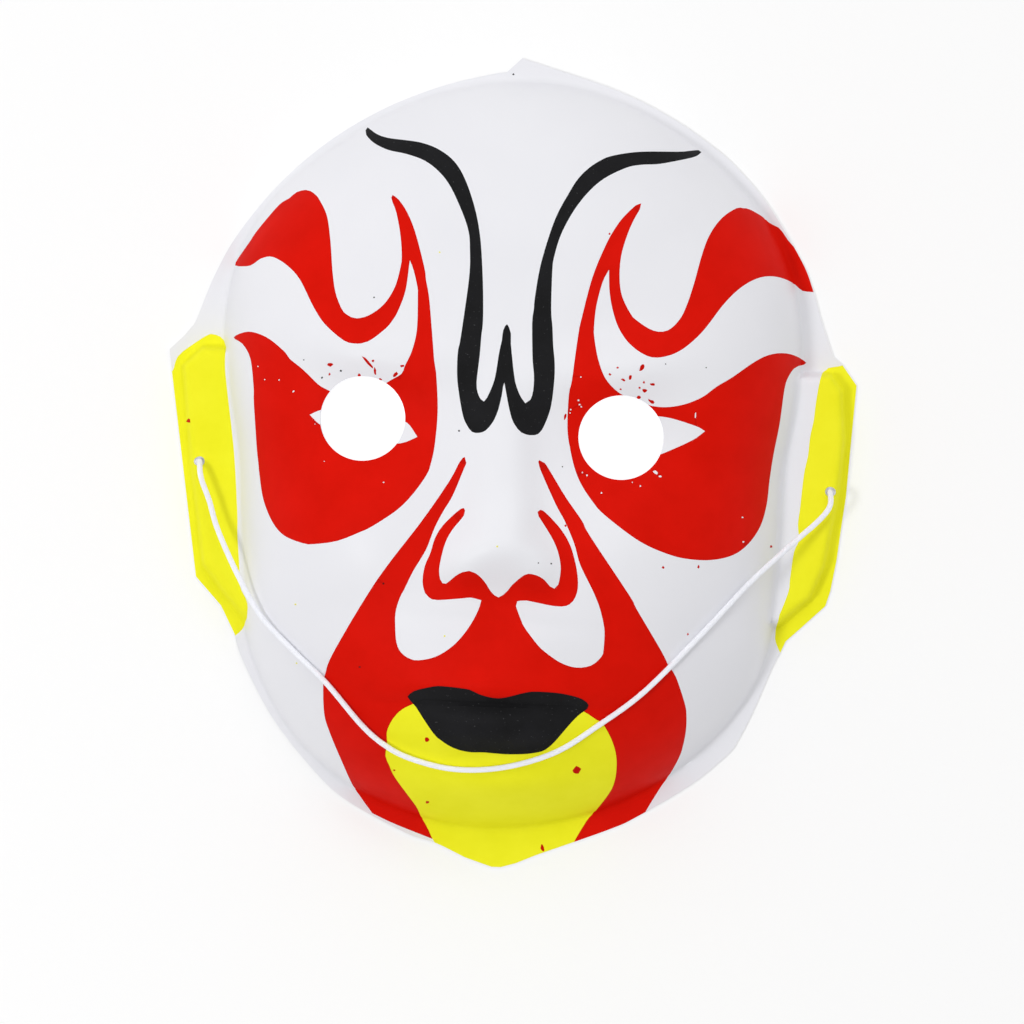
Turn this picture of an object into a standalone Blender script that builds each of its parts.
"""A thin vacuum-formed plastic opera mask with its elastic cord, lying face up on its flange.

The frame: +Z out of the face, +Y to the forehead, +X to the viewer's right, z = 0 under the flange.
Plan sizes are millimetres, read from above, and MM turns them into metres when a mesh is made.
"""

import math

import bmesh
import bpy
import numpy as np
from mathutils import Vector
from mathutils.geometry import delaunay_2d_cdt

MM = 0.001
SHEET = 0.5

# The die-cut edge, as runs that meet at corners: each run is one smooth line through its points.
CROWN_RIGHT = [
    (-0.7, 110), (25.1, 102.3), (40.8, 95.1), (51.9, 88), (58.6, 82.5), (67.5, 72.8),
    (77.1, 58.1), (80.6, 50.2), (83.2, 41.9), (86.9, 31.9)]
EAR_RIGHT = [
    (86.9, 31.9), (89.4, 30), (93.5, 24.5), (92.5, 7.3), (91.8, -5.7), (90.8, -14.3), (89.9, -23),
    (88.5, -31.6), (87.3, -35.7), (81, -41.8), (76.9, -45.7), (75.6, -48.7)]
JAW_RIGHT = [
    (75.6, -48.7), (73.3, -53.5), (68.6, -65.5), (64.8, -73.5), (62.5, -76.9), (52.9, -85.5),
    (38.3, -94.9), (30.5, -98.8), (11.2, -106.4)]
CHIN_POINT = [(11.2, -106.4), (5.8, -108.8), (1.8, -110), (-0.7, -110), (-8, -107.7)]
JAW_LEFT = [
    (-8, -107.7), (-16.1, -104.1), (-24.5, -101.6), (-41, -93.3), (-50.8, -84.8), (-61.9, -71.5),
    (-70.5, -56.3), (-72.9, -49.4)]
EAR_LEFT = [
    (-72.9, -49.4), (-76.9, -41.8), (-84, -34.2), (-92.6, 20.8), (-93.5, 27.3), (-89.5, 31.3),
    (-87.6, 33.8)]
CROWN_LEFT = [
    (-87.6, 33.8), (-86.5, 35.7), (-82, 47.9), (-76, 59.5), (-65.4, 73.3), (-52.7, 85.1),
    (-38.2, 94.5), (-22.2, 101.5), (-9.7, 105.1), (-4.7, 106.1)]
TAB_LEFT = [(-4.7, 106.1), (-0.7, 110)]
SMOOTH_RUNS = (CROWN_RIGHT, JAW_RIGHT, JAW_LEFT, CROWN_LEFT)
OUTLINE_RUNS = (
    CROWN_RIGHT,
    EAR_RIGHT,
    JAW_RIGHT,
    CHIN_POINT,
    JAW_LEFT,
    EAR_LEFT,
    CROWN_LEFT,
    TAB_LEFT,
)

# The dome: the radius of its foot every 20 degrees round the face, counted from +X towards +Y, and how
# full its shoulder is every 60 degrees (2 is a round one, 4 is nearly square).
FOOT_RADII = (74.5, 83, 93.5, 99, 103, 102.5, 98.5, 94.5, 83.5, 74.5, 77, 87.5, 96, 99, 98, 95, 89.5, 78.5)
SHOULDERS = (3.0, 2.3, 2.3, 3.0, 2.9, 2.9)
DOME_HEIGHT = 41
WALL_DRAFT = 0.15

# The raised panel in each ear flap, bounded on its outer side by this line, which is its slope's foot.
PANEL_HEIGHT = 6
PANEL_SLOPE = 1.6
PANEL_RIGHT = [
    (60, 26.5),
    (86.5, 27.5),
    (90, 23),
    (91, 9.5),
    (90, -5),
    (87, -25),
    (83.5, -34),
    (75, -41.5),
    (60, -43),
]
PANEL_LEFT = [
    (-60, 29),
    (-84.5, 28.5),
    (-90, 23),
    (-87, -2),
    (-82.5, -31),
    (-77, -38),
    (-70, -46),
    (-60, -46),
]

# Punched holes.
EYE_LEFT = (-39.3, 9.9)
EYE_RIGHT = (29.3, 7.4)
EYE_RADIUS = 11.4
EYE_SIDES = 22
CORD_HOLE_LEFT = (-83.8, -2.9)
CORD_HOLE_RIGHT = (87, -4.6)
CORD_HOLE_RADIUS = 1.5
CORD_HOLE_SIDES = 8

# The calm, plain face of the mould, which fades out where the dome is lower than the second height here
# and is gone below the first.
MIDDLE = -1.5
FACE_FADES = (4, 26)

# The nose: its half width and its rise at the root and at the tip, and the sharpness of its ridge. It comes
# up out of the brow, rolls under below the tip, and its wings end lower still.
NOSE_ROOT = 14
NOSE_TIP = -24
NOSE_HALF_WIDTHS = (6.5, 10.5)
NOSE_RISES = (1.5, 7)
NOSE_RIDGE = 2.6
NOSE_INTO_BROW = (10, 30)
NOSE_ROLL = (-39, -21)
WING_ROLL = (-39, -30)

# Soft swellings: how far they are from the middle line, their height up the face, their half width, their
# half height, their rise (a hollow's is below zero) and their turn in degrees.
NOSE_BALL = (0, -22, 10, 9, 1.6, 0)
NOSE_WING = (11, -27.5, 6, 6.5, 3.0, 0)
MIDDLE_SWELLINGS = [
    (0, 66, 42, 26, 2.0, 0),  # the forehead
    (0, -60, 36, 26, 5.0, 0),  # the mound round the mouth
    (0, -60.5, 19, 4.2, 2.4, 0),  # the upper lip
    (0, -65, 22, 2.0, -2.2, 0),  # the line between the lips
    (0, -71, 15, 5, 3.0, 0),  # the lower lip
    (0, -79, 17, 4.5, -1.8, 0),  # the hollow under it
    (0, -88, 19, 9, 5.0, 0),  # the chin
]

# Swellings round each eye hole, placed from its centre, on the side away from the nose.
EYE_SWELLINGS = [
    (0, 18, 22, 7, 3.0, 8),  # the brow
    (0, -1, 18, 12, -4.5, 0),  # the socket
    (4, -32, 20, 18, 3.5, 0),  # the cheekbone
]

# The cord: its route in plan from hole to hole, and the room that it keeps to the sheet.
CORD_RADIUS = 0.85
CORD_GAP = 0.4
CORD_ROUTE = [
    (-83, -7.5),
    (-80.5, -13.5),
    (-78, -21),
    (-72, -33),
    (-65, -44),
    (-55.5, -53),
    (-46.5, -61),
    (-37, -71.5),
    (-31, -76.5),
    (-24, -80),
    (-12, -82.5),
    (1.5, -81.5),
    (15, -77),
    (26, -69.5),
    (38, -60),
    (52, -45),
    (65.5, -30),
    (77, -19),
    (84, -12.5),
    (87, -8.5),
]
CORD_STEP = 0.8
CORD_BEND = 5.4
CORD_SAG = 0.01
CORD_SETTLING = 30000
CORD_EASING = 4

# Where the room round the cord is felt for: shares of its radius, and directions.
FEELER_REACHES = (0.25, 0.5, 0.75, 0.92)
FEELERS = 12

# The cord's own points: how far apart they are, also near its ends, which is nearer than CORD_END.
CORD_STRIDE = 4.6
CORD_END_STRIDE = 1.4
CORD_END = 12

# The stopper knots: their radius, the share of it that is left under and over the flat faces, how far they
# hang below the ear panel's back, how far inwards they sit, and the gap between two pieces that meet.
KNOT_RADIUS = 2.1
KNOT_FLATNESS = 0.72
KNOT_DROP = 1.1
KNOT_INSET = 1.0
KNOT_SIDES = 12
KNOT_RINGS = 8
MEET = 0.3

# How far apart the sheet's mesh points are, in general and on the oval that holds the nose and mouth. Then
# the room between grid and lines, the grid's room to the edge as a share of its spacing, where the panels'
# creases stop below the dome, and how much more room its steep wall gets for each millimetre of drop.
FACET = 5.9
FINE_FACET = 3.9
FINE_CENTRE = (-1.5, -38)
FINE_REACH = (27, 47)
WALL_SIDES = 96
GRID_CLEARANCE = 2.3
EDGE_CLEARANCE = 0.5
CREASE_CLEARANCE = 1
STEEPNESS = 0.55
HALVINGS = 50
MERGE = 1e-5

WHITE_PLASTIC = (0.84, 0.84, 0.87)
WHITE_ELASTIC = (0.86, 0.86, 0.88)


def between(a, b, c, d, t):
    """The share t of the way from b to c, on a smooth curve that comes from a and goes on to d."""
    return b + 0.5 * t * (c - a + t * (2 * a - 5 * b + 4 * c - d + t * (3 * (b - c) + d - a)))


def around(values, angle):
    """The value at an angle, smoothly between values that are spaced evenly round the full turn."""
    table = np.asarray(values, float)
    place = np.asarray(angle, float) / (2 * math.pi) * len(table)
    first = np.floor(place).astype(int)
    a, b, c, d = (table[(first + k) % len(table)] for k in (-1, 0, 1, 2))
    return between(a, b, c, d, place - first)


def smooth_line(points, spacing):
    """Points about that far apart on a smooth line through the given ones, both ends included."""
    given = [np.array(p, float) for p in points]
    padded = [2 * given[0] - given[1], *given, 2 * given[-1] - given[-2]]
    line = []
    for a, b, c, d in zip(padded, padded[1:], padded[2:], padded[3:]):
        steps = max(1, round(float(np.linalg.norm(c - b)) / spacing))
        line += [between(a, b, c, d, t) for t in np.arange(steps) / steps]
    return np.array([*line, given[-1]])


def straight_line(points, spacing):
    """Points about that far apart along straight stretches between the given ones."""
    line = []
    for a, b in zip(points, points[1:]):
        a, b = np.array(a, float), np.array(b, float)
        steps = max(1, round(float(np.linalg.norm(b - a)) / spacing))
        line += [a + (b - a) * t for t in np.arange(steps) / steps]
    return np.array([*line, points[-1]], float)


def outline(spacing):
    """The die-cut edge as one closed ring of points."""
    ring = []
    for run in OUTLINE_RUNS:
        points = smooth_line(run, spacing) if run in SMOOTH_RUNS else straight_line(run, spacing)
        ring += list(points[:-1])
    return np.array(ring)


def circle(centre, radius, sides):
    turn = np.arange(sides) * 2 * math.pi / sides
    return np.stack([centre[0] + radius * np.cos(turn), centre[1] + radius * np.sin(turn)], axis=1)


def dome(x, y):
    """The height of the plain dome, below zero outside its foot."""
    angle = np.arctan2(y, x)
    reach = np.hypot(x, y) / around(FOOT_RADII, angle)
    inside = 1 - reach ** around(SHOULDERS, angle)
    soft = np.where(
        inside > 0,
        np.sqrt(np.maximum(inside, 0) + WALL_DRAFT**2) - WALL_DRAFT,
        inside / (2 * WALL_DRAFT),
    )
    return DOME_HEIGHT * soft / (math.sqrt(1 + WALL_DRAFT**2) - WALL_DRAFT)


def step(low, high, value):
    """0 below low, 1 above high, smoothly between."""
    t = np.clip((value - low) / (high - low), 0, 1)
    return t * t * (3 - 2 * t)


def swelling(x, y, form, origin=(MIDDLE, 0), side=1):
    """One soft oval swelling, placed from an origin, mirrored where side is -1."""
    out, up, width, height, rise, turn = form
    c, s = math.cos(math.radians(turn * side)), math.sin(math.radians(turn * side))
    dx, dy = x - origin[0] - out * side, y - origin[1] - up
    return rise * np.exp(-(((dx * c + dy * s) / width) ** 2) - ((dy * c - dx * s) / height) ** 2)


def nose(x, y):
    """A ridge that grows and widens from the root to the tip, rolls under to the base, and has two wings."""
    down = np.clip((NOSE_ROOT - y) / (NOSE_ROOT - NOSE_TIP), 0, 1)
    width = NOSE_HALF_WIDTHS[0] + (NOSE_HALF_WIDTHS[1] - NOSE_HALF_WIDTHS[0]) * down
    rise = NOSE_RISES[0] + (NOSE_RISES[1] - NOSE_RISES[0]) * down
    ridge = rise * np.exp(-((np.abs(x - MIDDLE) / width) ** NOSE_RIDGE))
    ridge = ridge * step(*NOSE_ROLL, y) * (1 - step(*NOSE_INTO_BROW, y))
    wings = swelling(x, y, NOSE_WING) + swelling(x, y, NOSE_WING, side=-1)
    return ridge + swelling(x, y, NOSE_BALL) + wings * step(*WING_ROLL, y)


def face(x, y):
    """The height of the formed face: the dome with its features, which fade out towards the foot."""
    plain = dome(x, y)
    features = nose(x, y) + sum(swelling(x, y, form) for form in MIDDLE_SWELLINGS)
    for eye, side in ((EYE_LEFT, -1), (EYE_RIGHT, 1)):
        features = features + sum(swelling(x, y, form, eye, side) for form in EYE_SWELLINGS)
    return plain + step(*FACE_FADES, plain) * features


def inside_by(x, y, corners):
    """How far inside a polygon each point is, and 0 outside it."""
    x, y = np.broadcast_arrays(np.asarray(x, float), np.asarray(y, float))
    nearest = np.full(x.shape, np.inf)
    odd = np.zeros(x.shape, bool)
    for (ax, ay), (bx, by) in zip(corners, [*corners[1:], corners[0]]):
        dx, dy = bx - ax, by - ay
        t = np.clip(((x - ax) * dx + (y - ay) * dy) / (dx * dx + dy * dy), 0, 1)
        nearest = np.minimum(nearest, np.hypot(x - ax - t * dx, y - ay - t * dy))
        if dy:
            odd ^= ((ay > y) != (by > y)) & (x < ax + (y - ay) * dx / dy)
    return np.where(odd, nearest, 0)


def ear_panels(x, y):
    depth = np.maximum(inside_by(x, y, PANEL_RIGHT), inside_by(x, y, PANEL_LEFT))
    return PANEL_HEIGHT * np.clip(depth / PANEL_SLOPE, 0, 1)


def underside(x, y):
    """The height of the sheet's back, the whole form."""
    return np.maximum(np.maximum(face(x, y), ear_panels(x, y)), 0)


def flattened(points):
    """Plan points moved outwards so that the dome's steep wall gets as much room as its height asks for."""
    x, y = points[:, 0], points[:, 1]
    reach = np.maximum(np.hypot(x, y), 1e-9)
    drop = DOME_HEIGHT - np.maximum(dome(x, y), 0)
    return points * ((reach + STEEPNESS * drop) / reach)[:, None]


def back_in_plan(points):
    """The inverse of flattened, by halving."""
    reach = np.maximum(np.hypot(points[:, 0], points[:, 1]), 1e-9)
    way = points / reach[:, None]
    low, high = np.zeros(len(points)), reach.copy()
    for _ in range(HALVINGS):
        middle = (low + high) / 2
        plan = way * middle[:, None]
        spread = middle + STEEPNESS * (DOME_HEIGHT - np.maximum(dome(plan[:, 0], plan[:, 1]), 0))
        low = np.where(spread < reach, middle, low)
        high = np.where(spread < reach, high, middle)
    return way * ((low + high) / 2)[:, None]


def level_ring(height, sides):
    """The line round the dome where it reaches a height, as a closed ring of points."""
    turn = np.arange(sides) * 2 * math.pi / sides
    soft = height / DOME_HEIGHT * (math.sqrt(1 + WALL_DRAFT**2) - WALL_DRAFT) + WALL_DRAFT
    reach = (1 + WALL_DRAFT**2 - soft**2) ** (1 / around(SHOULDERS, turn))
    radius = around(FOOT_RADII, turn) * reach
    return np.stack([radius * np.cos(turn), radius * np.sin(turn)], axis=1)


def triangle_grid(ring, spacing):
    """Points of an even triangular grid inside the ring, none too near its edge."""
    low, high = ring.min(axis=0), ring.max(axis=0)
    rows = np.arange(low[1], high[1], spacing * math.sqrt(3) / 2)
    points = []
    for i, y in enumerate(rows):
        xs = np.arange(low[0] + (i % 2) * spacing / 2, high[0], spacing)
        points.append(np.stack([xs, np.full(len(xs), y)], axis=1))
    points = np.concatenate(points)
    return points[inside_by(points[:, 0], points[:, 1], ring.tolist()) > spacing * EDGE_CLEARANCE]


def clear_of(points, lines, room):
    """The points that are at least that far from every point of the lines."""
    kept = np.ones(len(points), bool)
    for line in lines:
        for p in line:
            kept &= np.hypot(points[:, 0] - p[0], points[:, 1] - p[1]) > room
    return points[kept]


def mesh_grid(ring):
    """The sheet's inner mesh points: a coarse grid, with a finer one over the nose and mouth."""
    kept = []
    for spacing, fine in ((FACET, False), (FINE_FACET, True)):
        points = triangle_grid(ring, spacing)
        away = np.hypot(*((points - FINE_CENTRE) / FINE_REACH).T)
        kept.append(points[(away < 1) == fine])
    return np.concatenate(kept)


def panel_creases(spacing):
    """The two lines of each ear panel's slope, its foot and its top."""
    lines = []
    for corners in (PANEL_RIGHT, PANEL_LEFT):
        foot = straight_line(corners, spacing)
        centre = np.mean(corners, axis=0)
        top = []
        for a, b, c in zip([foot[0] * 2 - foot[1], *foot[:-1]], foot, [*foot[1:], foot[-1] * 2 - foot[-2]]):
            along = (c - a) / np.linalg.norm(c - a)
            inward = np.array([-along[1], along[0]])
            inward *= math.copysign(1, float(inward @ (centre - b)))
            top.append(b + inward * PANEL_SLOPE)
        for line, height in ((foot, 0), (np.array(top), PANEL_HEIGHT)):
            lines.append(line[dome(line[:, 0], line[:, 1]) < height - CREASE_CLEARANCE])
    return lines


def material(name, colour, roughness):
    made = bpy.data.materials.new(name)
    made.use_nodes = True
    shader = made.node_tree.nodes["Principled BSDF"]
    shader.inputs["Base Color"].default_value = (*colour, 1)
    shader.inputs["Roughness"].default_value = roughness
    return made


def add_object(name, data, finish):
    obj = bpy.data.objects.new(name, data)
    bpy.context.collection.objects.link(obj)
    data.materials.append(finish)
    return obj


def mask_shell():
    """The one formed sheet: its back surface is meshed, and Solidify gives it its thickness outwards."""
    edge = outline(FACET)
    holes = [circle(eye, EYE_RADIUS, EYE_SIDES) for eye in (EYE_LEFT, EYE_RIGHT)]
    holes += [circle(hole, CORD_HOLE_RADIUS, CORD_HOLE_SIDES) for hole in (CORD_HOLE_LEFT, CORD_HOLE_RIGHT)]
    levels = [level_ring(height, WALL_SIDES) for height in (0, PANEL_HEIGHT)]
    rings = [flattened(ring) for ring in (edge, *holes, *levels)]
    creases = [flattened(line) for line in panel_creases(FACET)]
    grid = clear_of(mesh_grid(rings[0]), [*rings[1:], *creases], GRID_CLEARANCE)
    points, ties = [], []
    for line, closed in [(r, True) for r in rings] + [(c, False) for c in creases]:
        first = len(points)
        points += [Vector(p) for p in line]
        ties += [(first + i, first + i + 1) for i in range(len(line) - 1)]
        if closed:
            ties.append((first + len(line) - 1, first))
    points += [Vector(p) for p in grid]
    found, _, faces, *_ = delaunay_2d_cdt(points, ties, [], 0, MERGE)
    flat = np.array([tuple(p) for p in found])
    plan = back_in_plan(flat)
    faces = np.array(faces)
    middle = flat[faces].mean(axis=1)
    kept = inside_by(middle[:, 0], middle[:, 1], rings[0].tolist()) > 0
    for hole in rings[1:5]:
        kept &= inside_by(middle[:, 0], middle[:, 1], hole.tolist()) == 0
    faces = faces[kept]
    height = underside(plan[:, 0], plan[:, 1])
    corners = np.column_stack([plan, height]) * MM
    used, faces = np.unique(faces, return_inverse=True)
    mesh = bpy.data.meshes.new("mask_shell")
    mesh.from_pydata(corners[used].tolist(), [], faces.reshape(-1, 3).tolist())
    mesh.update()
    if mesh.polygons[0].normal.z < 0:
        mesh.flip_normals()
    obj = add_object("mask_shell", mesh, material("white_plastic", WHITE_PLASTIC, 0.35))
    thick = obj.modifiers.new("sheet", "SOLIDIFY")
    thick.thickness = SHEET * MM
    thick.offset = 1
    thick.use_even_offset = True
    mesh.shade_smooth()
    return obj


def resting_height(x, y):
    """The lowest centre height of the cord over a plan point that clears the sheet all round."""
    room = CORD_RADIUS + SHEET + CORD_GAP
    height = underside(x, y) + room
    for share in FEELER_REACHES:
        for turn in np.arange(FEELERS) * 2 * math.pi / FEELERS:
            dx, dy = room * share * math.cos(turn), room * share * math.sin(turn)
            height = np.maximum(height, underside(x + dx, y + dy) + room * math.sqrt(1 - share**2))
    return height


def cord_line():
    """The cord's centre line in millimetres, from under one ear panel to under the other."""
    plan = smooth_line([CORD_HOLE_LEFT, *CORD_ROUTE, CORD_HOLE_RIGHT], CORD_STEP)
    spacing = float(np.linalg.norm(np.diff(plan, axis=0), axis=1).mean())
    floor = resting_height(plan[:, 0], plan[:, 1])
    base = PANEL_HEIGHT + SHEET
    for hole in (CORD_HOLE_LEFT, CORD_HOLE_RIGHT):
        out = np.clip(np.hypot(plan[:, 0] - hole[0], plan[:, 1] - hole[1]), 0, CORD_BEND)
        bend = base + np.sqrt(CORD_BEND**2 - (CORD_BEND - out) ** 2)
        floor = np.where(out < CORD_BEND, bend, floor)
    height = floor.copy()
    for _ in range(CORD_SETTLING):
        height[1:-1] = np.maximum((height[:-2] + height[2:]) / 2 - CORD_SAG * spacing**2 / 2, floor[1:-1])
    over = np.column_stack([plan, height])
    low = knot_centre_height() + flat_top() + MEET
    start = [[*CORD_HOLE_LEFT, low], [*CORD_HOLE_LEFT, (low + base) / 2]]
    end = [[*CORD_HOLE_RIGHT, (low + base) / 2], [*CORD_HOLE_RIGHT, low]]
    line = np.concatenate([start, over, end])
    for _ in range(CORD_EASING):
        line[3:-3] = line[3:-3] / 2 + (line[2:-4] + line[4:-2]) / 4
    return line


def thinned(line, gentle, tight):
    """Points of the line, a tight spacing apart near its ends and a gentle one elsewhere."""
    along = np.concatenate([[0], np.cumsum(np.linalg.norm(np.diff(line, axis=0), axis=1))])
    total = along[-1]
    places, at = [0.0], 0.0
    while at < total - tight:
        at += tight if min(at, total - at) < CORD_END else gentle
        places.append(min(at, total))
    places[-1] = total
    return np.stack([np.interp(places, along, line[:, k]) for k in range(3)], axis=1)


def flat_top():
    """How far a knot's flat top is above its middle."""
    return KNOT_FLATNESS * KNOT_RADIUS


def knot_centre_height():
    return PANEL_HEIGHT - KNOT_DROP - flat_top()


def elastic_cord():
    line = thinned(cord_line(), CORD_STRIDE, CORD_END_STRIDE)
    curve = bpy.data.curves.new("elastic_cord", "CURVE")
    curve.dimensions = "3D"
    curve.bevel_depth = CORD_RADIUS * MM
    curve.bevel_resolution = 2
    curve.use_fill_caps = True
    spline = curve.splines.new("POLY")
    spline.points.add(len(line) - 1)
    for point, place in zip(spline.points, line):
        point.co = (*(place * MM), 1)
    add_object("elastic_cord", curve, material("white_elastic", WHITE_ELASTIC, 0.6))


def knot(name, hole, side):
    """A stopper knot: a ball of cord under the ear panel, flat where it is drawn up to the sheet."""
    shape = bmesh.new()
    bmesh.ops.create_uvsphere(shape, u_segments=KNOT_SIDES, v_segments=KNOT_RINGS, radius=KNOT_RADIUS * MM)
    for vertex in shape.verts:
        vertex.co.z = max(-flat_top() * MM, min(flat_top() * MM, vertex.co.z))
    mesh = bpy.data.meshes.new(name)
    shape.to_mesh(mesh)
    shape.free()
    obj = add_object(name, mesh, material(name + "_elastic", WHITE_ELASTIC, 0.6))
    obj.location = Vector((hole[0] - side * KNOT_INSET, hole[1], knot_centre_height())) * MM


def main():
    for obj in list(bpy.data.objects):
        bpy.data.objects.remove(obj)
    mask_shell()
    elastic_cord()
    knot("knot_left", CORD_HOLE_LEFT, -1)
    knot("knot_right", CORD_HOLE_RIGHT, 1)


main()
